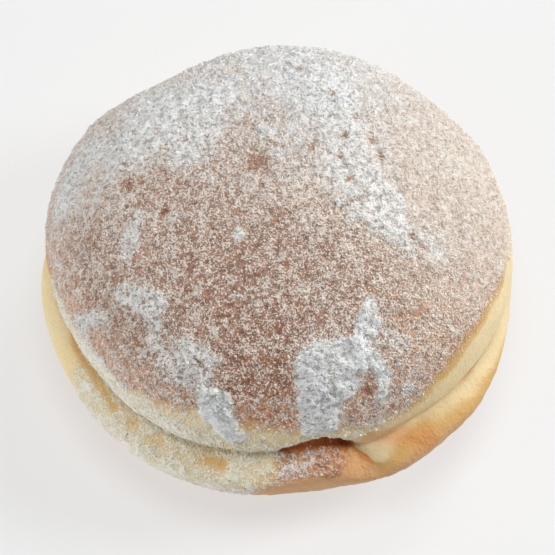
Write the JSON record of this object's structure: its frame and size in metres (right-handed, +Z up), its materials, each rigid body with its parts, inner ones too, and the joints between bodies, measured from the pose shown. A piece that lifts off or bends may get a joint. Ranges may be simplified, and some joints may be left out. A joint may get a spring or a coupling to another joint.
{
  "type": "bavarian cream doughnut",
  "caption": "Round filled yeast doughnut with a domed fried crust, a pale creased waist, a piping pinch at the front and a dusting of powdered sugar.",
  "frame": {"origin": "middle of the underside, where the doughnut rests on the table", "axes": "+Z up through the crown, -Y towards the front where the pinch is, +X to the right"},
  "size_m": [0.0902, 0.092, 0.0471],
  "materials": {
    "fried_dough": null,
    "powdered_sugar": null
  },
  "bodies": {
    "root": {"doughnut": "fried_dough"}
  },
  "joints": []
}
